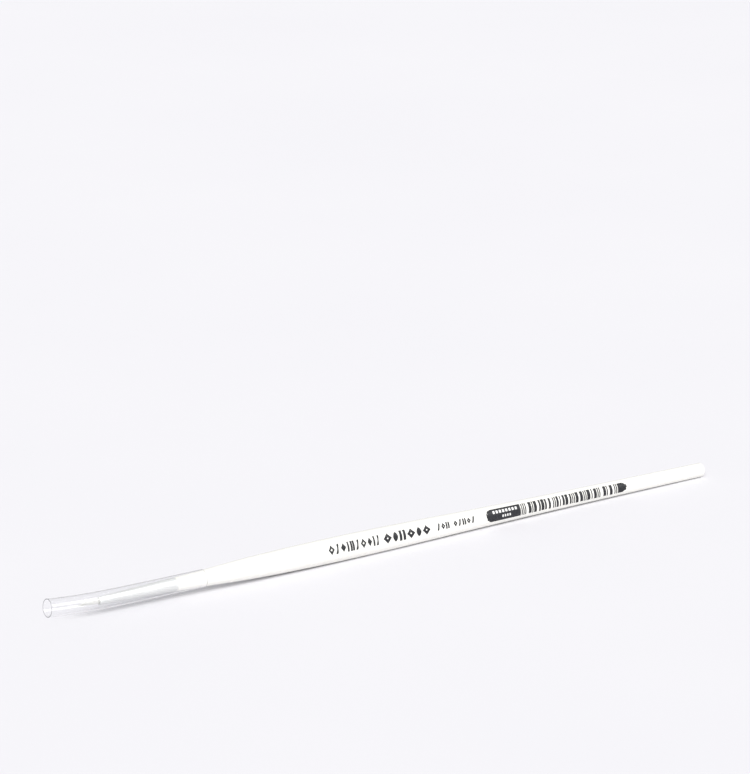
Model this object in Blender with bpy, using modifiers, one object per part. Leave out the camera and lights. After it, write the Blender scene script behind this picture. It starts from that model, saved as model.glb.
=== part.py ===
"""Fine detail brush: a turned handle, a conical ferrule, a pointed tuft of filaments and a clear protective tube.

Metres, +Z up. The brush lies along X with its tip towards -X, on the plane Z = 0. The origin is on that plane,
under the middle of the whole length, tube included. Every piece is placed from AXIS_Z and from its distance to
the handle's end, so each local frame has its +Z axis along the brush, towards the tip.
"""

import math

import bpy

MM = 0.001

# Handle: a turned piece of wood with a tenon that goes into the ferrule.
HANDLE_LENGTH = 162.3 * MM
# Distance behind the ferrule and radius there, for the smooth outline of the turned handle.
HANDLE_KNOTS = (
    (0.0 * MM, 1.72 * MM),
    (8.0 * MM, 2.05 * MM),
    (20.0 * MM, 2.68 * MM),
    (34.0 * MM, 3.05 * MM),
    (48.0 * MM, 3.15 * MM),
    (64.0 * MM, 3.02 * MM),
    (90.0 * MM, 2.53 * MM),
    (120.0 * MM, 2.13 * MM),
    (162.3 * MM, 1.86 * MM),
)
RINGS_PER_SPAN = 3
END_ROUND_ALONG = 0.8 * MM
END_ROUND_ACROSS = 0.9 * MM
END_ROUND_STEPS = 5
TENON_LENGTH = 8.6 * MM
TENON_NOSE = 0.3 * MM

# Ferrule: a seamless cone with its mouth turned in to hold the filaments.
FERRULE_LENGTH = 21.0 * MM
FERRULE_REAR_RADIUS = 1.70 * MM
FERRULE_MOUTH_RADIUS = 1.00 * MM
FERRULE_WALL = 0.30 * MM
FERRULE_EDGE = 0.10 * MM
LIP_BORE_RADIUS = 0.63 * MM
LIP_LENGTH = 0.4 * MM
LIP_SLOPE_LENGTH = 0.4 * MM

# Adhesive film between the tenon and the ferrule's bore.
GLUE_THICKNESS = 0.10 * MM
GLUE_LENGTH = 7.4 * MM
GLUE_INSET = 0.4 * MM

# The knot of filament roots inside the ferrule, its thread binding, and the resin plug that locks it.
# Depths are measured back from the ferrule's mouth.
ROOT_RADIUS = 0.575 * MM
ROOT_DEPTH = 9.5 * MM
SOCKET_STEPS = 5
PLUG_FRONT_DEPTH = 8.0 * MM
PLUG_REAR_DEPTH = 11.5 * MM
BINDING_DEPTH = 6.9 * MM
BINDING_TURNS = 4
BINDING_POINTS_PER_TURN = 12
THREAD_RADIUS = 0.055 * MM
THREAD_PITCH = 0.14 * MM

# Tuft: concentric rings of tapered filaments that close to a point. It bends about a pivot just ahead of the
# mouth. The filaments' lower ends lie on a ball round that pivot, and the roots end in a matching socket.
TUFT_LENGTH = 5.7 * MM
PIVOT_AHEAD = 0.45 * MM
BALL_RADIUS = 0.60 * MM
FILAMENT_RADIUS = 0.074 * MM
FILAMENT_GAP = 0.016 * MM
FILAMENT_RINGS = 3
FILAMENT_POINTS = 6
FILAMENT_FINEST = 0.12
FILAMENT_CROWDING = 1.6
RING_SHORTENING = 0.03
TAPER_SHAPE = 1.7
TAPER_POWER = 0.65

# Protective tube: a clear sleeve open at both ends, stopped by the cone of the handle.
TUBE_LENGTH = 42.6 * MM
TUBE_ON_HANDLE = 7.9 * MM
TUBE_CLEARANCE = 0.03 * MM
TUBE_WALL = 0.15 * MM

# Gap between pieces that touch. It is small because the walls of this object are only 0.1 to 0.4 mm thick.
CONTACT_GAP = 0.04 * MM
SIDES = 64
SMALL_SIDES = 24
MERGE = 0.001 * MM

FERRULE_REAR_Z = HANDLE_LENGTH
MOUTH_Z = HANDLE_LENGTH + FERRULE_LENGTH
PIVOT_Z = MOUTH_Z + PIVOT_AHEAD
TUBE_REAR_Z = HANDLE_LENGTH - TUBE_ON_HANDLE
TOTAL_LENGTH = TUBE_REAR_Z + TUBE_LENGTH
# The belly rests on the middle of a facet, so the axis is one apothem above the plane.
HALF_FACET = math.pi / SIDES
AXIS_Z = max(radius for _, radius in HANDLE_KNOTS) * math.cos(HALF_FACET)


def clear_scene():
    for obj in list(bpy.data.objects):
        bpy.data.objects.remove(obj, do_unlink=True)


def make_collection(name):
    collection = bpy.data.collections.new(name)
    bpy.context.scene.collection.children.link(collection)
    return collection


def make_material(name, colour, roughness, metallic=0.0, alpha=1.0):
    material = bpy.data.materials.new(name)
    material.use_nodes = True
    shader = material.node_tree.nodes["Principled BSDF"]
    shader.inputs["Base Color"].default_value = (*colour, 1.0)
    shader.inputs["Roughness"].default_value = roughness
    shader.inputs["Metallic"].default_value = metallic
    shader.inputs["Alpha"].default_value = alpha
    material.diffuse_color = (*colour, alpha)
    return material


def make_empty(name, parent, along=0.0):
    """An empty on the brush's axis, this far along its parent's own +Z."""
    empty = bpy.data.objects.new(name, None)
    empty.empty_display_size = 2.0 * MM
    empty.parent = parent
    empty.location = (0.0, 0.0, along)
    bpy.context.scene.collection.objects.link(empty)
    return empty


def make_axis_frame():
    """The root empty: at the centre of the handle's end, its +Z along the brush towards the tip."""
    frame = make_empty("brush_axis", None)
    frame.location = (TOTAL_LENGTH / 2, 0.0, AXIS_Z)
    frame.rotation_euler = (0.0, -math.pi / 2, 0.0)
    return frame


def turned(name, profile, material, parent, closed=False, sides=SIDES):
    """A turned piece. The profile is (radius, height) pairs down the outer side, and closed ones go back up the bore."""
    mesh = bpy.data.meshes.new(name)
    corners = [(radius, 0.0, height) for radius, height in profile]
    edges = [(i, i + 1) for i in range(len(corners) - 1)]
    if closed:
        edges.append((len(corners) - 1, 0))
    mesh.from_pydata(corners, edges, [])
    mesh.materials.append(material)
    obj = bpy.data.objects.new(name, mesh)
    obj.parent = parent
    obj.rotation_euler = (0.0, 0.0, math.pi / sides)
    screw = obj.modifiers.new("turn", "SCREW")
    screw.axis = "Z"
    screw.angle = 2 * math.pi
    screw.steps = sides
    screw.render_steps = sides
    screw.use_merge_vertices = True
    screw.merge_threshold = MERGE
    screw.use_smooth_shade = True
    PARTS.objects.link(obj)
    return obj


def wire(name, points, radii, thickness, resolution, material, parent):
    """A round wire with closed ends through these points, its thickness scaled at each point."""
    curve = bpy.data.curves.new(name, "CURVE")
    curve.dimensions = "3D"
    curve.bevel_depth = thickness
    curve.bevel_resolution = resolution
    curve.use_fill_caps = True
    spline = curve.splines.new("POLY")
    spline.points.add(len(points) - 1)
    for point, place, radius in zip(spline.points, points, radii):
        point.co = (*place, 1.0)
        point.radius = radius
    curve.materials.append(material)
    obj = bpy.data.objects.new(name, curve)
    obj.parent = parent
    PARTS.objects.link(obj)
    return obj


def knot_slope(index):
    """The handle outline's slope at a knot, from the knots on both sides of it."""
    before = HANDLE_KNOTS[max(index - 1, 0)]
    after = HANDLE_KNOTS[min(index + 1, len(HANDLE_KNOTS) - 1)]
    return (after[1] - before[1]) / (after[0] - before[0])


def handle_radius(behind):
    """The handle's radius this far behind the ferrule, on a smooth curve through the knots."""
    index = 0
    while index < len(HANDLE_KNOTS) - 2 and behind > HANDLE_KNOTS[index + 1][0]:
        index += 1
    start, end = HANDLE_KNOTS[index], HANDLE_KNOTS[index + 1]
    span = end[0] - start[0]
    t = (behind - start[0]) / span
    ease = t * t * (3 - 2 * t)
    leaving = t * (1 - t) ** 2 * span * knot_slope(index)
    arriving = t * t * (t - 1) * span * knot_slope(index + 1)
    return start[1] * (1 - ease) + end[1] * ease + leaving + arriving


def ferrule_outer_radius(height):
    share = (height - FERRULE_REAR_Z) / FERRULE_LENGTH
    return FERRULE_REAR_RADIUS + (FERRULE_MOUTH_RADIUS - FERRULE_REAR_RADIUS) * share


def ferrule_bore_radius(height):
    return ferrule_outer_radius(height) - FERRULE_WALL


def tenon_radius(height):
    return ferrule_bore_radius(height) - GLUE_THICKNESS - 2 * CONTACT_GAP


def quarter_round(along, across, start_radius, steps):
    """The rounded end of the handle, from its side down to the flat end face at height 0."""
    points = []
    for step in range(steps + 1):
        angle = math.pi / 2 * step / steps
        points.append((start_radius - across * (1 - math.cos(angle)), along * (1 - math.sin(angle))))
    return points


def build_handle(frame):
    nose_z = FERRULE_REAR_Z + TENON_LENGTH
    profile = [
        (0.0, nose_z),
        (tenon_radius(nose_z) - TENON_NOSE, nose_z),
        (tenon_radius(nose_z - TENON_NOSE), nose_z - TENON_NOSE),
        (tenon_radius(FERRULE_REAR_Z), FERRULE_REAR_Z - CONTACT_GAP),
    ]
    side_length = HANDLE_LENGTH - END_ROUND_ALONG
    for start, end in zip(HANDLE_KNOTS, HANDLE_KNOTS[1:]):
        span_end = min(end[0], side_length)
        for ring in range(RINGS_PER_SPAN):
            behind = max(start[0] + (span_end - start[0]) * ring / RINGS_PER_SPAN, CONTACT_GAP)
            profile.append((handle_radius(behind), HANDLE_LENGTH - behind))
    profile += quarter_round(END_ROUND_ALONG, END_ROUND_ACROSS, handle_radius(side_length), END_ROUND_STEPS)
    profile.append((0.0, 0.0))
    wood = make_material("lacquered_wood", (0.90, 0.89, 0.84), 0.30)
    return turned("handle", profile, wood, frame)


def build_ferrule(frame):
    lip_z = MOUTH_Z - LIP_LENGTH
    slope_z = lip_z - LIP_SLOPE_LENGTH
    profile = [
        (FERRULE_MOUTH_RADIUS - FERRULE_EDGE, MOUTH_Z),
        (FERRULE_MOUTH_RADIUS, MOUTH_Z - FERRULE_EDGE),
        (FERRULE_REAR_RADIUS, FERRULE_REAR_Z),
        (ferrule_bore_radius(FERRULE_REAR_Z), FERRULE_REAR_Z),
        (ferrule_bore_radius(slope_z), slope_z),
        (LIP_BORE_RADIUS, lip_z),
        (LIP_BORE_RADIUS, MOUTH_Z - FERRULE_EDGE),
        (LIP_BORE_RADIUS + FERRULE_EDGE, MOUTH_Z),
    ]
    metal = make_material("satin_metal", (0.74, 0.75, 0.76), 0.38, metallic=1.0)
    return turned("ferrule", profile, metal, frame, closed=True)


def build_tenon_glue(frame):
    rear_z = FERRULE_REAR_Z + GLUE_INSET
    front_z = rear_z + GLUE_LENGTH
    profile = []
    for height in (front_z, rear_z):
        profile.append((ferrule_bore_radius(height) - CONTACT_GAP, height))
    for height in (rear_z, front_z):
        profile.append((tenon_radius(height) + CONTACT_GAP, height))
    adhesive = make_material("adhesive", (0.80, 0.68, 0.42), 0.35)
    return turned("tenon_glue", profile, adhesive, frame, closed=True)


def build_root_plug(frame):
    """The resin that locks the roots: a plug in the cone, with a pocket that the knot's end sits in."""
    front_z = MOUTH_Z - PLUG_FRONT_DEPTH
    rear_z = MOUTH_Z - PLUG_REAR_DEPTH
    pocket_z = MOUTH_Z - ROOT_DEPTH - CONTACT_GAP
    pocket_radius = ROOT_RADIUS + CONTACT_GAP
    profile = [
        (0.0, pocket_z),
        (pocket_radius, pocket_z),
        (pocket_radius, front_z),
        (ferrule_bore_radius(front_z) - CONTACT_GAP, front_z),
        (ferrule_bore_radius(rear_z) - CONTACT_GAP, rear_z),
        (0.0, rear_z),
    ]
    resin = make_material("resin", (0.55, 0.36, 0.16), 0.25)
    return turned("root_plug", profile, resin, frame)


def build_bristle_roots(frame):
    """The knot of roots, a cylinder whose front ends in a socket round the tuft's pivot."""
    socket_radius = BALL_RADIUS + CONTACT_GAP
    rim_angle = math.asin(ROOT_RADIUS / socket_radius)
    profile = []
    for step in range(SOCKET_STEPS + 1):
        angle = rim_angle * step / SOCKET_STEPS
        profile.append((socket_radius * math.sin(angle), PIVOT_Z - socket_radius * math.cos(angle)))
    rear_z = MOUTH_Z - ROOT_DEPTH
    profile += [(ROOT_RADIUS, rear_z), (0.0, rear_z)]
    fibre = make_material("filament_root", (0.86, 0.85, 0.80), 0.45)
    return turned("bristle_roots", profile, fibre, frame, sides=SMALL_SIDES)


def build_root_binding(frame):
    """The thread wound round the knot of roots."""
    winding_radius = ROOT_RADIUS + CONTACT_GAP + THREAD_RADIUS
    start_z = MOUTH_Z - BINDING_DEPTH
    points = []
    for step in range(BINDING_TURNS * BINDING_POINTS_PER_TURN + 1):
        turns = step / BINDING_POINTS_PER_TURN
        angle = 2 * math.pi * turns
        height = start_z + THREAD_PITCH * turns
        points.append((winding_radius * math.cos(angle), winding_radius * math.sin(angle), height))
    thread = make_material("thread", (0.70, 0.62, 0.48), 0.8)
    return wire("root_binding", points, [1.0] * len(points), THREAD_RADIUS, 1, thread, frame)


def tuft_scale(along):
    """How far the tuft has closed in at this distance ahead of the mouth: 1 at its foot, near 0 at its tip."""
    share = min(max(along / TUFT_LENGTH, 0.0), 1.0)
    return (1 - share**TAPER_SHAPE) ** TAPER_POWER


def build_filament(number, ring, angle, material, pivot):
    """One filament, from the ball round the pivot to its fine end, drawn in with the tuft as it closes."""
    offset = ring * (2 * FILAMENT_RADIUS + FILAMENT_GAP)
    foot = -math.sqrt(BALL_RADIUS**2 - (offset + FILAMENT_RADIUS) ** 2)
    end = TUFT_LENGTH * (1 - RING_SHORTENING * ring) - PIVOT_AHEAD
    points, radii = [], []
    for step in range(FILAMENT_POINTS):
        share = 1 - (1 - step / (FILAMENT_POINTS - 1)) ** FILAMENT_CROWDING
        height = foot + (end - foot) * share
        scale = tuft_scale(height + PIVOT_AHEAD)
        reach = offset * scale
        points.append((reach * math.cos(angle), reach * math.sin(angle), height))
        radii.append(max(scale, FILAMENT_FINEST))
    return wire(f"filament_{number:02d}", points, radii, FILAMENT_RADIUS, 1, material, pivot)


def build_tuft(pivot):
    fibre = make_material("filament", (0.93, 0.93, 0.91), 0.40)
    number = 1
    for ring in range(FILAMENT_RINGS + 1):
        count = max(6 * ring, 1)
        for place in range(count):
            build_filament(number, ring, 2 * math.pi * place / count, fibre, pivot)
            number += 1


def build_protective_tube(slide):
    """The clear sleeve, in a frame whose origin is the centre of its rear end."""
    bore = handle_radius(TUBE_ON_HANDLE) + TUBE_CLEARANCE
    outer = bore + TUBE_WALL
    profile = [(outer, TUBE_LENGTH), (outer, 0.0), (bore, 0.0), (bore, TUBE_LENGTH)]
    clear = make_material("clear_plastic", (0.93, 0.95, 0.97), 0.06, alpha=0.25)
    return turned("protective_tube", profile, clear, slide, closed=True)


def main():
    frame = make_axis_frame()
    build_handle(frame)
    build_ferrule(frame)
    build_tenon_glue(frame)
    build_root_plug(frame)
    build_bristle_roots(frame)
    build_root_binding(frame)
    build_tuft(make_empty("tuft_pivot", frame, PIVOT_Z))
    build_protective_tube(make_empty("tube_slide_frame", frame, TUBE_REAR_Z))


clear_scene()
PARTS = make_collection("fine_detail_brush")
main()
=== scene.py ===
"""Looks of the fine detail brush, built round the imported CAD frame: metres, +Z up, the tip towards -X.

The smooth lacquered handle, the ferrule and the clear tube replace their faceted CAD solids, and a tuft of
fine hairs replaces the 37 filaments. The print is a thin film of ink on the handle.
"""

import math
import random

import bmesh
import bpy
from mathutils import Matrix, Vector


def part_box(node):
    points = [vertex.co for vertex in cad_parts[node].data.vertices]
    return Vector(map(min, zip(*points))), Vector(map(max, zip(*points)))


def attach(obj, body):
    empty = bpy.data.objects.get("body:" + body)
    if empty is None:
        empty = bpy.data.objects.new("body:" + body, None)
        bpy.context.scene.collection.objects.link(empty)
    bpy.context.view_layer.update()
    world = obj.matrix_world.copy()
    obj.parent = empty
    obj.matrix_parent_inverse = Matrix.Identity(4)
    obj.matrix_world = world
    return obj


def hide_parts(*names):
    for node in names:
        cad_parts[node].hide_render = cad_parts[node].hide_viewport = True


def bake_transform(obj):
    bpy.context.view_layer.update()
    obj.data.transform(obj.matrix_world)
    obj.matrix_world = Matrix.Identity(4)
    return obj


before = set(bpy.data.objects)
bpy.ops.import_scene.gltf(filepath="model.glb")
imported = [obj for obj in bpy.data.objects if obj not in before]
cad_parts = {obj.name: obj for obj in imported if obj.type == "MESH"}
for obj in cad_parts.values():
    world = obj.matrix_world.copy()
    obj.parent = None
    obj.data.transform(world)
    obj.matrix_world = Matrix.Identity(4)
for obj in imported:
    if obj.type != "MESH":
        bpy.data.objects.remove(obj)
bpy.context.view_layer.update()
MM = 0.001
ROUND = 96  # segments round a turned piece

# ------------------------------------------------------------------ places, from the CAD frame


def node_span(name):
    """(lowest x, highest x) of a CAD node."""
    low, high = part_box(name)
    return low.x, high.x


HANDLE_LOW, HANDLE_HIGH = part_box("handle")
AXIS_Z = (HANDLE_LOW.z + HANDLE_HIGH.z) / 2
END_X = HANDLE_HIGH.x
MOUTH_X, SEAM_X = node_span("ferrule")
TUBE_FRONT_X, TUBE_REAR_X = node_span("protective_tube")
TUBE_LOW, TUBE_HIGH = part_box("protective_tube")
TENON_X = HANDLE_LOW.x
HANDLE_LENGTH = END_X - SEAM_X
TUFT_TIP_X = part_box("filament_01")[0].x

# Distance behind the ferrule and radius there, for the smooth outline of the turned handle.
HANDLE_KNOTS = (
    (0.0 * MM, 1.72 * MM),
    (8.0 * MM, 2.05 * MM),
    (20.0 * MM, 2.68 * MM),
    (34.0 * MM, 3.05 * MM),
    (48.0 * MM, 3.15 * MM),
    (64.0 * MM, 3.02 * MM),
    (90.0 * MM, 2.53 * MM),
    (120.0 * MM, 2.13 * MM),
    (162.3 * MM, 1.86 * MM),
)
BELLY_BEHIND, BELLY_RADIUS = max(HANDLE_KNOTS, key=lambda knot: knot[1])
HANDLE_END_ROUND = 0.9 * MM
FERRULE_REAR_RADIUS = 1.70 * MM
FERRULE_MOUTH_RADIUS = 1.00 * MM
FERRULE_WALL = 0.30 * MM
LIP_BORE_RADIUS = 0.63 * MM
TUBE_WALL = 0.15 * MM
TUBE_CURL_LENGTH = 28.5 * MM
TUBE_CURL_RISE = 1.0 * MM
TUFT_RADIUS = 0.62 * MM
# How the tuft closes to its point: see tuft_scale.
TAPER_SHAPE = 1.7
TAPER_POWER = 0.65


def knot_slope(index):
    """The slope of the handle's outline at a knot."""
    before = HANDLE_KNOTS[max(index - 1, 0)]
    after = HANDLE_KNOTS[min(index + 1, len(HANDLE_KNOTS) - 1)]
    return (after[1] - before[1]) / (after[0] - before[0])


def handle_radius(behind):
    """The handle's radius this far behind the ferrule, on a smooth curve through the knots."""
    index = 0
    while index < len(HANDLE_KNOTS) - 2 and behind > HANDLE_KNOTS[index + 1][0]:
        index += 1
    start, end = HANDLE_KNOTS[index], HANDLE_KNOTS[index + 1]
    span = end[0] - start[0]
    t = (behind - start[0]) / span
    ease = t * t * (3 - 2 * t)
    leaving = t * (1 - t) ** 2 * span * knot_slope(index)
    arriving = t * t * (t - 1) * span * knot_slope(index + 1)
    return start[1] * (1 - ease) + end[1] * ease + leaving + arriving


# ------------------------------------------------------------------ mesh helpers


def new_object(name, bm, smooth=True):
    bmesh.ops.recalc_face_normals(bm, faces=bm.faces)
    mesh = bpy.data.meshes.new(name)
    bm.to_mesh(mesh)
    bm.free()
    for polygon in mesh.polygons:
        polygon.use_smooth = smooth
    obj = bpy.data.objects.new(name, mesh)
    bpy.context.scene.collection.objects.link(obj)
    return obj


def turned(name, profile, closed=False):
    """A piece turned about the brush's axis. The profile is (x, radius) pairs, and radius 0 closes an end."""
    bm = bmesh.new()
    rings = []
    for x, radius in profile:
        if radius <= 0:
            rings.append([bm.verts.new((x, 0.0, AXIS_Z))])
            continue
        ring = []
        for step in range(ROUND):
            angle = 2 * math.pi * step / ROUND
            ring.append(bm.verts.new((x, radius * math.cos(angle), AXIS_Z + radius * math.sin(angle))))
        rings.append(ring)
    pairs = list(zip(rings, rings[1:]))
    if closed:
        pairs.append((rings[-1], rings[0]))
    for first, second in pairs:
        for step in range(ROUND):
            after = (step + 1) % ROUND
            if len(first) == 1 and len(second) == 1:
                break
            if len(first) == 1:
                bm.faces.new((first[0], second[step], second[after]))
            elif len(second) == 1:
                bm.faces.new((first[step], first[after], second[0]))
            else:
                bm.faces.new((first[step], first[after], second[after], second[step]))
    return new_object(name, bm)


def arc(centre_x, centre_r, radius_x, radius_r, start, end, steps):
    """Points of an elliptical corner, angles in degrees: 0 is towards +X, 90 is outwards."""
    points = []
    for step in range(steps + 1):
        angle = math.radians(start + (end - start) * step / steps)
        points.append((centre_x + radius_x * math.cos(angle), centre_r + radius_r * math.sin(angle)))
    return points


def sharpen(obj, degrees=40.0):
    """Marks the edges sharper than this, so that they stay crisp under smooth shading."""
    bm = bmesh.new()
    bm.from_mesh(obj.data)
    for edge in bm.edges:
        if len(edge.link_faces) == 2 and edge.calc_face_angle(0.0) > math.radians(degrees):
            edge.smooth = False
    bm.to_mesh(obj.data)
    bm.free()


# ------------------------------------------------------------------ material helpers


class Nodes:
    """A material under construction: its node tree, its shader and short ways to add and join nodes."""

    def __init__(self, name, colour, roughness, **sockets):
        self.material = bpy.data.materials.new(name)
        self.material.use_nodes = True
        self.tree = self.material.node_tree
        self.shader = self.tree.nodes["Principled BSDF"]
        self.set("Base Color", (*colour, 1.0))
        self.set("Roughness", roughness)
        for socket, value in sockets.items():
            self.set(socket.replace("_", " "), value)
        self.where = self.tree.nodes.new("ShaderNodeTexCoord").outputs["Object"]

    def set(self, socket, value):
        self.shader.inputs[socket].default_value = value

    def add(self, kind, inputs=(), **settings):
        node = self.tree.nodes.new(kind)
        for name, value in settings.items():
            setattr(node, name, value)
        for socket, value in dict(inputs).items():
            if isinstance(value, bpy.types.NodeSocket):
                self.tree.links.new(value, node.inputs[socket])
            else:
                node.inputs[socket].default_value = value
        return node

    def stretched(self, along, across):
        """The place, scaled so that a texture is longer along the brush than across it."""
        mapping = self.add("ShaderNodeMapping", {"Vector": self.where, "Scale": (along, across, across)})
        return mapping.outputs["Vector"]

    def noise(self, scale, detail=3.0, roughness=0.5, vector=None, distortion=0.0):
        inputs = {"Vector": vector or self.where, "Scale": scale, "Detail": detail}
        inputs.update({"Roughness": roughness, "Distortion": distortion})
        return self.add("ShaderNodeTexNoise", inputs).outputs["Fac"]

    def ramp(self, factor, stops, socket=None):
        """A colour ramp. Each stop is (position, colour). A socket's name also joins it to the shader."""
        node = self.add("ShaderNodeValToRGB", {"Fac": factor})
        elements = node.color_ramp.elements
        while len(elements) < len(stops):
            elements.new(0.5)
        for element, (position, colour) in zip(elements, stops):
            element.position = position
            element.color = (*colour, 1.0)
        if socket:
            self.join(node.outputs["Color"], socket)
        return node.outputs["Color"]

    def span(self, value, low, high, to_low, to_high, socket=None):
        """Maps low..high to to_low..to_high. A socket's name also joins it to the shader."""
        inputs = {"Value": value, "From Min": low, "From Max": high, "To Min": to_low, "To Max": to_high}
        node = self.add("ShaderNodeMapRange", inputs)
        if socket:
            self.join(node.outputs["Result"], socket)
        return node.outputs["Result"]

    def mix(self, factor, first, second):
        """The first colour, a node's output, mixed with the second, a plain colour."""
        node = self.add("ShaderNodeMix", data_type="RGBA", blend_type="MIX")
        # The node's sockets go by number: 0 is the factor, 6 and 7 the colours, and output 2 the result.
        self.tree.links.new(factor, node.inputs[0])
        self.tree.links.new(first, node.inputs[6])
        node.inputs[7].default_value = (*second, 1.0)
        return node.outputs[2]

    def bump(self, *layers):
        """Each layer is (height, strength, distance)."""
        normal = None
        for height, strength, distance in layers:
            inputs = {"Height": height, "Strength": strength, "Distance": distance}
            if normal:
                inputs["Normal"] = normal
            normal = self.add("ShaderNodeBump", inputs).outputs["Normal"]
        self.join(normal, "Normal")

    def join(self, output, socket):
        self.tree.links.new(output, self.shader.inputs[socket])


def lacquer_material():
    """White gloss lacquer over wood: warm white, with faint grain, orange peel and handling marks."""
    m = Nodes("white_lacquer", (0.86, 0.85, 0.80), 0.22, Coat_Weight=0.35, Coat_Roughness=0.08)
    grain = m.noise(1.0, 4.0, 0.6, m.stretched(160.0, 2600.0))
    blotches = m.noise(1.0, 3.0, 0.55, m.stretched(60.0, 240.0))
    tone = m.ramp(blotches, ((0.30, (0.845, 0.838, 0.795)), (0.70, (0.885, 0.878, 0.838))))
    specks = m.noise(5200.0, 2.0, 0.5)
    speck_mask = m.span(specks, 0.755, 0.80, 0.0, 0.35)
    m.join(m.mix(speck_mask, tone, (0.62, 0.60, 0.54)), "Base Color")
    smears = m.noise(1.0, 5.0, 0.65, m.stretched(240.0, 900.0), 0.6)
    m.span(smears, 0.35, 0.70, 0.17, 0.33, "Roughness")
    peel = m.noise(2100.0, 2.0, 0.45)
    m.bump((grain, 0.10, 0.00002), (peel, 0.16, 0.00002))
    return m.material


def ferrule_material():
    """Matt light grey finish over aluminium, with faint lengthwise drawing marks."""
    m = Nodes("matt_aluminium", (0.70, 0.71, 0.705), 0.50, Metallic=0.3)
    drawn = m.noise(1.0, 5.0, 0.6, m.stretched(110.0, 5200.0))
    cloud = m.noise(1.0, 3.0, 0.5, m.stretched(150.0, 500.0))
    m.ramp(cloud, ((0.30, (0.685, 0.695, 0.69)), (0.72, (0.72, 0.73, 0.725))), "Base Color")
    m.span(drawn, 0.30, 0.72, 0.44, 0.58, "Roughness")
    m.bump((drawn, 0.12, 0.000012))
    return m.material


def clear_material():
    """Thin clear plastic: glass-like at its edges, with faint drawing lines and scuffs."""
    m = Nodes("clear_plastic", (0.985, 0.985, 0.99), 0.03, IOR=1.42, Transmission_Weight=1.0)
    lines = m.noise(1.0, 4.0, 0.55, m.stretched(45.0, 2300.0))
    scuffs = m.noise(1.0, 6.0, 0.7, m.stretched(420.0, 1500.0), 0.8)
    m.span(scuffs, 0.45, 0.80, 0.015, 0.10, "Roughness")
    m.bump((lines, 0.12, 0.00002))
    return m.material


def cut_end_painted_shade_material():
    """The tube's cut ends: the same plastic, cut rough by the blade, and painted dark grey as shade where the
    wall is seen edge-on.
    """
    m = Nodes("cut_end_painted_shade", (0.17, 0.175, 0.185), 0.55, IOR=1.42)
    scratches = m.noise(5200.0, 4.0, 0.6)
    # Painted shade: the dark grey ramp stands in for the shade in the wall seen edge-on, and the blade
    # scratches only vary its tone.
    m.ramp(scratches, ((0.35, (0.13, 0.135, 0.145)), (0.70, (0.22, 0.225, 0.235))), "Base Color")
    m.span(scratches, 0.3, 0.7, 0.45, 0.65, "Roughness")
    m.bump((scratches, 0.3, 0.00001))
    return m.material


def ink_material():
    """Pad-printed black ink: nearly black, a little worn and uneven."""
    m = Nodes("print_ink", (0.02, 0.021, 0.024), 0.38)
    m.set("Specular IOR Level", 0.3)
    wear = m.noise(4200.0, 4.0, 0.6)
    tones = ((0.34, (0.012, 0.013, 0.016)), (0.66, (0.035, 0.036, 0.040)), (0.80, (0.09, 0.09, 0.092)))
    m.ramp(wear, tones, "Base Color")
    m.span(m.noise(1900.0, 3.0), 0.3, 0.7, 0.30, 0.52, "Roughness")
    m.bump((wear, 0.12, 0.00001))
    return m.material


def knockout_material():
    """The small light dashes in the black block."""
    m = Nodes("print_open", (0.78, 0.78, 0.76), 0.35)
    tones = ((0.30, (0.60, 0.60, 0.59)), (0.62, (0.84, 0.84, 0.82)))
    m.ramp(m.noise(3600.0, 4.0, 0.6), tones, "Base Color")
    m.span(m.noise(1700.0, 3.0), 0.3, 0.7, 0.28, 0.45, "Roughness")
    m.bump((m.noise(4200.0, 2.0), 0.08, 0.00001))
    return m.material


def hair_material():
    """Translucent white synthetic filament with faint streaks from hair to hair."""
    m = Nodes("white_filament", (0.90, 0.90, 0.88), 0.38, Sheen_Weight=0.15)
    m.set("Subsurface Weight", 0.15)
    m.set("Subsurface Scale", 0.0002)
    m.set("Subsurface Radius", (1.0, 0.95, 0.9))
    streaks = m.noise(1.0, 4.0, 0.6, m.stretched(260.0, 9000.0))
    m.ramp(streaks, ((0.28, (0.80, 0.80, 0.77)), (0.66, (0.94, 0.94, 0.92))), "Base Color")
    m.span(streaks, 0.3, 0.7, 0.30, 0.48, "Roughness")
    m.bump((streaks, 0.2, 0.00001))
    return m.material


def root_material():
    """The hidden lower halves of the hairs, packed side by side."""
    m = Nodes("packed_roots", (0.82, 0.81, 0.76), 0.5)
    strands = m.noise(1.0, 5.0, 0.65, m.stretched(260.0, 8200.0))
    m.ramp(strands, ((0.32, (0.58, 0.56, 0.50)), (0.60, (0.86, 0.85, 0.80))), "Base Color")
    m.span(strands, 0.3, 0.7, 0.40, 0.60, "Roughness")
    m.bump((strands, 0.5, 0.00003))
    return m.material


def resin_material():
    """Cloudy amber resin."""
    m = Nodes("amber_resin", (0.45, 0.26, 0.09), 0.18, Transmission_Weight=0.35, IOR=1.52)
    cloud = m.noise(900.0, 4.0, 0.6)
    m.ramp(cloud, ((0.3, (0.36, 0.19, 0.06)), (0.7, (0.58, 0.36, 0.15))), "Base Color")
    m.span(cloud, 0.3, 0.7, 0.12, 0.30, "Roughness")
    m.bump((m.noise(2600.0), 0.15, 0.00002))
    return m.material


def glue_material():
    """Yellowish glue, smeared along the tenon."""
    m = Nodes("tenon_glue_film", (0.74, 0.60, 0.34), 0.32, Transmission_Weight=0.2, IOR=1.48)
    cloud = m.noise(1.0, 5.0, 0.6, m.stretched(700.0, 1300.0))
    m.ramp(cloud, ((0.3, (0.66, 0.50, 0.26)), (0.7, (0.84, 0.72, 0.46))), "Base Color")
    m.span(cloud, 0.3, 0.7, 0.24, 0.42, "Roughness")
    m.bump((cloud, 0.25, 0.00002))
    return m.material


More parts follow.
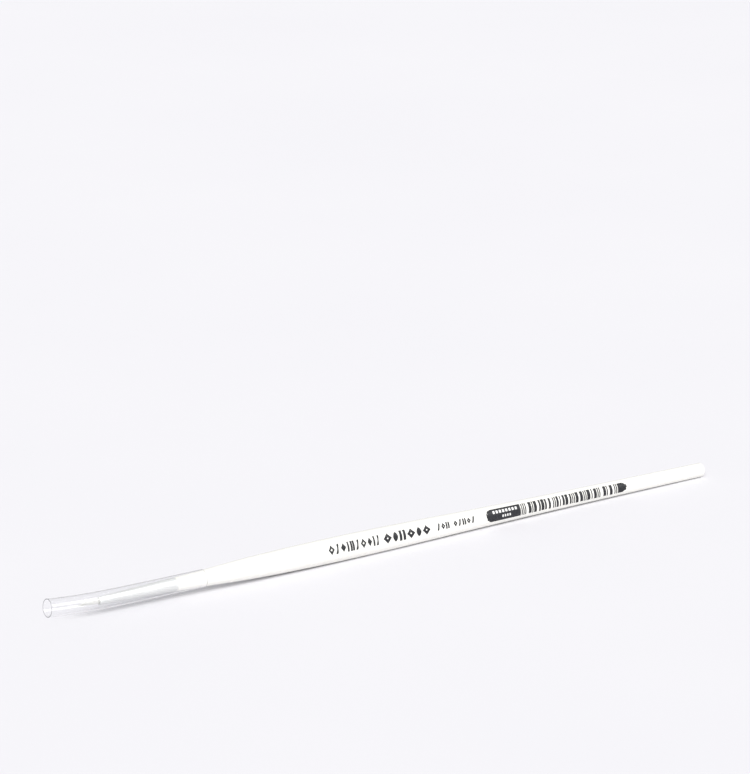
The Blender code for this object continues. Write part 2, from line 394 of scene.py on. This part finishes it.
def thread_material():
    """Waxed thread with a fine twist."""
    m = Nodes("waxed_thread", (0.62, 0.54, 0.40), 0.75, Sheen_Weight=0.3)
    twist = m.add("ShaderNodeTexWave", {"Vector": m.where, "Scale": 3200.0, "Distortion": 2.0, "Detail": 2.0})
    twist = twist.outputs["Fac"]
    m.ramp(twist, ((0.2, (0.46, 0.38, 0.26)), (0.8, (0.72, 0.64, 0.50))), "Base Color")
    m.span(twist, 0.0, 1.0, 0.65, 0.85, "Roughness")
    m.bump((twist, 0.5, 0.00003))
    return m.material


def floor_material():
    """Plain pale board, its tone all but even."""
    m = Nodes("pale_floor", (0.77, 0.765, 0.79), 0.85)
    m.set("Specular IOR Level", 0.15)
    tones = ((0.3, (0.765, 0.760, 0.790)), (0.7, (0.775, 0.770, 0.797)))
    m.ramp(m.noise(9.0, 3.0, 0.5), tones, "Base Color")
    return m.material


# ------------------------------------------------------------------ the camera


def make_camera():
    """A long lens from in front of the tip, on the side that carries the print, looking slightly down."""
    camera = bpy.data.cameras.new("camera")
    camera.lens = 164.6
    camera.sensor_width = 36.0
    camera.clip_start = 0.01
    camera.clip_end = 50.0
    obj = bpy.data.objects.new("camera", camera)
    obj.location = (-0.4730, -0.6892, 0.2862)
    obj.rotation_euler = (math.radians(90.0 - 16.29), 0.0, math.radians(-34.13))
    bpy.context.scene.collection.objects.link(obj)
    bpy.context.scene.camera = obj


# ------------------------------------------------------------------ the handle


def build_handle():
    """The turned handle, from the front of its hidden tenon to its rounded end."""
    profile = [(TENON_X, 0.0)]
    glue_space = 0.18 * MM
    tenon_front = 0.82 * MM
    tenon_rear = FERRULE_REAR_RADIUS - FERRULE_WALL - glue_space
    tenon_round = 0.3 * MM
    profile += arc(TENON_X + tenon_round, tenon_front - tenon_round, tenon_round, tenon_round, 180, 90, 4)
    profile.append((SEAM_X + 0.02 * MM, tenon_rear))
    # The front shoulder, with the lacquer drawn in to a rounded edge at the ferrule.
    shoulder = 0.12 * MM
    shoulder_x = SEAM_X + 0.03 * MM + shoulder
    profile += arc(shoulder_x, handle_radius(shoulder) - shoulder, shoulder, shoulder, 180, 92, 5)
    steps = 160
    side_length = HANDLE_LENGTH - HANDLE_END_ROUND
    past_shoulder = 0.1 * MM
    for step in range(1, steps + 1):
        behind = shoulder + past_shoulder + (side_length - shoulder - past_shoulder) * step / steps
        profile.append((SEAM_X + behind, handle_radius(behind)))
    rear = handle_radius(side_length)
    rear_round = 0.95 * MM
    profile += arc(END_X - HANDLE_END_ROUND, rear - rear_round, 0.82 * MM, rear_round, 84, 8, 10)
    # The end is faced flat and the lacquer leaves a very shallow dome on it.
    profile += [(END_X - 0.03 * MM, 0.70 * MM), (END_X - 0.01 * MM, 0.35 * MM), (END_X, 0.0)]
    handle = turned("handle_lacquered", profile)
    sharpen(handle, 50.0)
    handle.data.materials.append(lacquer_material())
    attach(handle, "brush")
    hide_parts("handle")


# ------------------------------------------------------------------ the ferrule


def build_ferrule():
    """The plain cone, with its lip rolled in round the tuft."""
    length = SEAM_X - MOUTH_X
    edge = 0.09 * MM
    rear_edge = 0.06 * MM
    steps = 24

    def outer(x):
        return FERRULE_MOUTH_RADIUS + (FERRULE_REAR_RADIUS - FERRULE_MOUTH_RADIUS) * (x - MOUTH_X) / length

    def bore(x):
        return outer(x) - FERRULE_WALL

    profile = arc(MOUTH_X + edge, LIP_BORE_RADIUS + edge, edge, edge, 270, 180, 4)
    profile += arc(MOUTH_X + 2 * edge, FERRULE_MOUTH_RADIUS - 2 * edge, 2 * edge, 2 * edge, 180, 94, 6)
    for step in range(1, steps):
        x = MOUTH_X + length * step / steps
        profile.append((x, outer(x)))
    profile += arc(SEAM_X - rear_edge, outer(SEAM_X) - rear_edge, rear_edge, rear_edge, 90, 0, 4)
    profile.append((SEAM_X, bore(SEAM_X)))
    slope_x = MOUTH_X + 0.8 * MM
    profile += [(slope_x, bore(slope_x)), (MOUTH_X + 0.4 * MM, LIP_BORE_RADIUS)]
    ferrule = turned("ferrule_satin", profile, closed=True)
    sharpen(ferrule, 50.0)
    ferrule.data.materials.append(ferrule_material())
    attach(ferrule, "brush")
    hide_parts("ferrule")


# ------------------------------------------------------------------ the tuft


def tuft_scale(along):
    """How wide the tuft is here against its foot: 1 at the mouth and 0 at the tip, where along is 1."""
    share = min(max(along, 0.0), 1.0)
    return (1 - share**TAPER_SHAPE) ** TAPER_POWER


def build_tuft():
    """Fine tapered hairs that start just inside the ferrule's lip and close to one point."""
    rng = random.Random(11)
    length = MOUTH_X - TUFT_TIP_X
    root_x = MOUTH_X + 0.25 * MM
    hair_radius = 0.036 * MM
    sides, rings = 5, 11
    bm = bmesh.new()
    spots = [(0.0, 0.0)]
    golden = math.pi * (3 - math.sqrt(5))
    hairs = 190
    for index in range(1, hairs):
        spots.append((math.sqrt(index / (hairs - 1)), golden * index))
    for reach, angle in spots:
        angle += rng.uniform(-0.05, 0.05)
        foot = (TUFT_RADIUS - hair_radius) * reach
        ends_at = 1.0 - 0.16 * reach * rng.random() - 0.02 * rng.random()
        wander = rng.uniform(-0.02, 0.02) * MM
        twist = rng.uniform(-0.12, 0.12)
        rows = []
        for ring in range(rings):
            t = 1 - (1 - ring / (rings - 1)) ** 1.4
            x = root_x + (MOUTH_X - length * ends_at - root_x) * t
            spread = foot * tuft_scale(0.995 * (MOUTH_X - x) / length)
            theta = angle + twist * t
            offset = wander * math.sin(math.pi * t)
            centre_y = spread * math.cos(theta) + offset
            centre_z = AXIS_Z + spread * math.sin(theta)
            radius = hair_radius * max(1 - 0.88 * t**2.2, 0.12)
            row = []
            for side in range(sides):
                around = 2 * math.pi * side / sides + theta
                y = centre_y + radius * math.cos(around)
                z = centre_z + radius * math.sin(around)
                row.append(bm.verts.new((x, y, z)))
            rows.append(row)
        for first, second in zip(rows, rows[1:]):
            for side in range(sides):
                after = (side + 1) % sides
                bm.faces.new((first[side], first[after], second[after], second[side]))
        bm.faces.new(rows[0])
        bm.faces.new(rows[-1])
    tuft = new_object("tuft_hair", bm)
    tuft.data.materials.append(hair_material())
    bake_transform(tuft)
    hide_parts(*(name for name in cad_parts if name.startswith("filament_")))


# ------------------------------------------------------------------ the protective tube


def curl_tube(tube):
    """The free end of the soft tube curls up a little, as cut plastic tubing does."""
    start = TUBE_FRONT_X + TUBE_CURL_LENGTH
    for vertex in tube.data.vertices:
        share = (start - vertex.co.x) / TUBE_CURL_LENGTH
        if share <= 0:
            continue
        tilt = math.atan(3 * TUBE_CURL_RISE * share**2 / TUBE_CURL_LENGTH)
        up = vertex.co.z - AXIS_Z
        vertex.co.x += up * math.sin(tilt)
        vertex.co.z = AXIS_Z + TUBE_CURL_RISE * share**3 + up * math.cos(tilt)


def build_tube():
    """The clear tube, open and cut square at both ends."""
    outer = (TUBE_HIGH.z - TUBE_LOW.z) / 2
    bore = outer - TUBE_WALL
    steps = 40
    places = [TUBE_FRONT_X + (TUBE_REAR_X - TUBE_FRONT_X) * step / steps for step in range(steps + 1)]
    profile = [(x, outer) for x in places] + [(x, bore) for x in reversed(places)]
    tube = turned("tube_clear", profile, closed=True)
    sharpen(tube)
    tube.data.materials.append(clear_material())
    # The second slot goes on the cut ends, which are painted dark grey as shade for the wall seen edge-on.
    tube.data.materials.append(cut_end_painted_shade_material())
    for polygon in tube.data.polygons:
        faces_along = abs(polygon.normal.x) > 0.9
        if faces_along:
            polygon.material_index = 1
    curl_tube(tube)
    # Thin clear plastic throws next to no shadow, and no pool of light either.
    tube.visible_shadow = False
    tube.visible_diffuse = False
    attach(tube, "protective_tube")
    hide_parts("protective_tube")


# ------------------------------------------------------------------ the print

PRINT_LIFT = 0.007 * MM
PRINT_SINK = 0.020 * MM
PRINT_CENTRE = 18.0  # degrees above the -Y side, the middle of the printed band
PRINT_ROW = 3.0  # degrees, the tallest a film's face may be
THINNEST = 0.02  # the least share of a leaning bar's height that a column keeps


def on_handle(behind, degrees, lift):
    """The point this far behind the ferrule and this many degrees from the middle of the print."""
    angle = math.radians(PRINT_CENTRE + degrees)
    radius = handle_radius(behind) + lift
    return (SEAM_X + behind, -radius * math.cos(angle), AXIS_Z + radius * math.sin(angle))


def add_film(bm, columns, lift=PRINT_LIFT):
    """A thin closed film on the handle. Each column is (mm behind the ferrule, lower angle, upper angle)."""
    widest = max(high - low for _, low, high in columns)
    rows = max(2, math.ceil(widest / PRINT_ROW))
    top, bottom = [], []
    for behind, low, high in columns:
        angles = [low + (high - low) * row / rows for row in range(rows + 1)]
        for layer, height in ((top, lift), (bottom, -PRINT_SINK)):
            layer.append([bm.verts.new(on_handle(behind * MM, angle, height)) for angle in angles])
    for layer in (top, bottom):
        for first, second in zip(layer, layer[1:]):
            for row in range(rows):
                bm.faces.new((first[row], first[row + 1], second[row + 1], second[row]))
    for end in (0, -1):
        for row in range(rows):
            bm.faces.new((top[end][row], top[end][row + 1], bottom[end][row + 1], bottom[end][row]))
    for first in range(len(columns) - 1):
        for row in (0, rows):
            bm.faces.new((top[first][row], top[first + 1][row], bottom[first + 1][row], bottom[first][row]))


def bar(bm, start, width, low, high, slant=0.0):
    """An upright bar, or one that leans by slant mm from its lower to its upper end."""
    if not slant:
        steps = max(1, math.ceil(width / 1.5))
        add_film(bm, [(start + width * step / steps, low, high) for step in range(steps + 1)])
        return
    columns = []
    steps = 8
    total = width + abs(slant)
    for step in range(steps + 1):
        at = total * step / steps
        enters, leaves = at / abs(slant), (at - width) / abs(slant)
        first, last = max(0.0, min(1.0, leaves)), max(0.0, min(1.0, enters))
        if last - first < THINNEST:
            last = first + THINNEST if first < 1 - THINNEST else first
            first = last - THINNEST
        if slant < 0:
            first, last = 1 - last, 1 - first
        columns.append((start + at, low + (high - low) * first, low + (high - low) * last))
    add_film(bm, columns)


def lozenge(bm, start, width, low, high, power=1.0):
    """A solid lozenge, or a rounder pebble with a higher power."""
    middle, reach = (low + high) / 2, (high - low) / 2
    steps = 10
    columns = []
    for step in range(steps + 1):
        u = abs(2 * step / steps - 1)
        half = reach * max((1 - u**power) ** (1 / power), 0.04)
        columns.append((start + width * step / steps, middle - half, middle + half))
    add_film(bm, columns)


def open_diamond(bm, start, width, low, high, stroke):
    """A diamond's outline: one chevron over another, upside down. The stroke is in degrees."""
    middle, reach = (low + high) / 2, (high - low) / 2
    steps = 8
    upper, lower = [], []
    for step in range(steps + 1):
        outside = reach * max(1 - abs(2 * step / steps - 1), 0.06)
        inside = max(outside - stroke, 0.0)
        behind = start + width * step / steps
        upper.append((behind, middle + inside, middle + outside))
        lower.append((behind, middle - outside, middle - inside))
    add_film(bm, upper)
    add_film(bm, lower)


def print_ornament(bm):
    """Two rows of ornament, the first light and the second heavier, then two groups of small marks.

    The letters say which shape comes next: d a diamond, l a lozenge, p a pebble, s a stroke that leans, b two
    bars and i one. Places and widths are mm along the handle; low and high are degrees round it.
    """
    at = 42.3
    stroke = 0.62
    twin = 0.55
    low, high = -19.0, 27.0
    for shape, width in zip("dslibsdlis", (1.7, 1.1, 1.5, 0.5, 1.2, 1.1, 1.6, 1.3, 0.5, 1.0)):
        if shape == "d":
            open_diamond(bm, at, width, low, high, 16.0)
        elif shape == "l":
            lozenge(bm, at, width, low + 3.0, high - 2.0)
        elif shape == "s":
            bar(bm, at, stroke, low, high, slant=width - stroke)
        elif shape == "b":
            bar(bm, at, twin, low, high)
            bar(bm, at + width - twin, twin, low, high)
        else:
            bar(bm, at, width, low, high)
        at += width + 0.40
    at = 58.6
    twin = 0.75
    low, high = -23.0, 27.0
    for shape, width in zip("dpbdpd", (2.4, 1.5, 1.9, 2.4, 1.5, 2.3)):
        if shape == "d":
            open_diamond(bm, at, width, low, high, 20.0)
        elif shape == "p":
            lozenge(bm, at, width, low + 2.0, high - 2.0, power=1.5)
        else:
            bar(bm, at, twin, low, high)
            bar(bm, at + width - twin, twin, low, high)
        at += width + 0.45
    low, high = -15.0, 21.0
    for start, shapes in ((74.9, "sdb"), (80.1, "dsbds")):
        at = start
        for shape in shapes:
            if shape == "d":
                open_diamond(bm, at, 1.15, low, high, 14.0)
            elif shape == "s":
                bar(bm, at + 0.1, 0.50, low, high, slant=0.45)
            else:
                bar(bm, at, 0.45, low, high)
                bar(bm, at + 0.65, 0.45, low, high)
            at += 1.38


def torn_end(start, reach, low, high, rng):
    """Columns for the torn end of a block, from its full height at start out to the tip at start + reach."""
    columns = []
    steps = 12
    for step in range(1, steps + 1):
        share = step / steps
        bite = 26.0 * share**1.7
        rough = 2.0 + 8.0 * share
        columns.append((
            start + reach * share,
            low + bite + rng.uniform(-0.6, 1.0) * rough,
            high - bite + 3.0 * share - rng.uniform(-0.6, 1.0) * rough,
        ))
    return columns


def print_bars(bm):
    """A torn block, then uneven groups of bars, then a smaller torn block. The bars stand for no number."""
    rng = random.Random(5)
    low, high = -39.0, 38.5
    block_start, block_end, bars_end = 91.8, 101.2, 133.0
    columns = torn_end(block_start, -1.4, low, high, rng)[::-1]
    for step in range(9):
        columns.append((block_start + (block_end - block_start) * step / 8, low, high))
    add_film(bm, columns)
    low, high = -37.5, 36.5
    # Each figure is the width of one bar, in modules. Beside each group is the gap before it, in mm.
    groups = (
        ("333", 0.26), ("838", 0.80), ("585", 0.70), ("6", 0.65), ("336", 0.70), ("3", 0.40), ("68", 0.55),
        ("5338", 0.50), ("8339", 0.55), ("3", 0.40), ("833", 0.50), ("83", 1.00), ("8", 0.65), ("333", 0.60),
    )
    hair = 0.24  # mm between the bars of a group
    gaps = sum(gap for _, gap in groups) + hair * sum(len(group) - 1 for group, _ in groups)
    modules = sum(int(figure) for group, _ in groups for figure in group)
    module = (bars_end - block_end - gaps) / modules
    at = block_end
    for group, gap in groups:
        at += gap
        for place, figure in enumerate(group):
            at += hair if place else 0.0
            width = int(figure) * module
            bar(bm, at, width, low + rng.uniform(-1.5, 1.5), high + rng.uniform(-1.5, 1.5))
            at += width
    end_from = bars_end + 1.0
    columns = [(bars_end, low, high), (end_from, low, high)]
    add_film(bm, columns + torn_end(end_from, 1.6, low, high, rng))


def build_print():
    """Generic marks where the real brush has its printing, with small light dashes on the black block."""
    bm = bmesh.new()
    print_ornament(bm)
    print_bars(bm)
    ink = new_object("print_ink", bm, smooth=False)
    ink.data.materials.append(ink_material())
    bm = bmesh.new()
    # Start, pitch and width in mm, how many, and the lower and upper angle in degrees.
    rows = ((92.5, 1.0, 0.62, 8, 8.0, 26.0), (95.3, 0.75, 0.45, 4, -21.0, -6.0))
    for start, pitch, width, count, low, high in rows:
        for index in range(count):
            behind = start + pitch * index
            add_film(bm, [(behind, low, high), (behind + width, low, high)], lift=2 * PRINT_LIFT)
    dashes = new_object("print_dashes", bm, smooth=False)
    dashes.data.materials.append(knockout_material())
    for film in (ink, dashes):
        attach(film, "brush")


# ------------------------------------------------------------------ CAD nodes that stay


def dress_cad_nodes():
    """The hidden pieces keep their CAD solids, with better materials."""
    for name, material in (
        ("bristle_roots", root_material()),
        ("root_plug", resin_material()),
        ("tenon_glue", glue_material()),
        ("root_binding", thread_material()),
    ):
        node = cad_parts[name]
        if not node.material_slots:
            node.data.materials.append(material)
        for slot in node.material_slots:
            slot.material = material


# ------------------------------------------------------------------ floor and light


def build_floor():
    """A pale floor under the belly and the handle's end, so that the brush lies with its nose slightly up."""
    belly = Vector((SEAM_X + BELLY_BEHIND, 0.0, AXIS_Z - BELLY_RADIUS))
    end_radius = handle_radius(HANDLE_LENGTH - HANDLE_END_ROUND)
    end = Vector((END_X - HANDLE_END_ROUND, 0.0, AXIS_Z - end_radius))
    lean = math.atan2(end.z - belly.z, end.x - belly.x)
    bm = bmesh.new()
    bmesh.ops.create_grid(bm, x_segments=8, y_segments=8, size=8.0)
    floor = new_object("floor", bm)
    floor.location = belly
    floor.rotation_euler = (0.0, -lean, 0.0)
    floor.data.materials.append(floor_material())


def add_sun(name, energy, colour, direction, degrees):
    """A sun lamp that shines in this direction, as soft as a lamp this many degrees wide."""
    data = bpy.data.lights.new(name, "SUN")
    data.energy = energy
    data.color = colour
    data.angle = math.radians(degrees)
    obj = bpy.data.objects.new(name, data)
    obj.rotation_euler = Vector(direction).to_track_quat("-Z", "Y").to_euler()
    bpy.context.scene.collection.objects.link(obj)


def build_light():
    """A white light tent, with a broad soft lamp above the camera and a weaker one well to its right."""
    world = bpy.data.worlds.new("studio")
    bpy.context.scene.world = world
    world.use_nodes = True
    background = world.node_tree.nodes["Background"]
    background.inputs["Color"].default_value = (0.985, 0.985, 1.0, 1.0)
    background.inputs["Strength"].default_value = 0.60
    add_sun("front_left", 2.0, (1.0, 0.995, 0.98), (0.42, 0.62, -0.66), 40.0)
    add_sun("front_right", 1.0, (1.0, 0.995, 0.985), (-0.45, 0.62, -0.64), 32.0)
    bpy.context.scene.view_settings.view_transform = "Standard"
    bpy.context.scene.view_settings.look = "None"


make_camera()
build_handle()
build_ferrule()
build_tuft()
build_tube()
build_print()
dress_cad_nodes()
build_floor()
build_light()
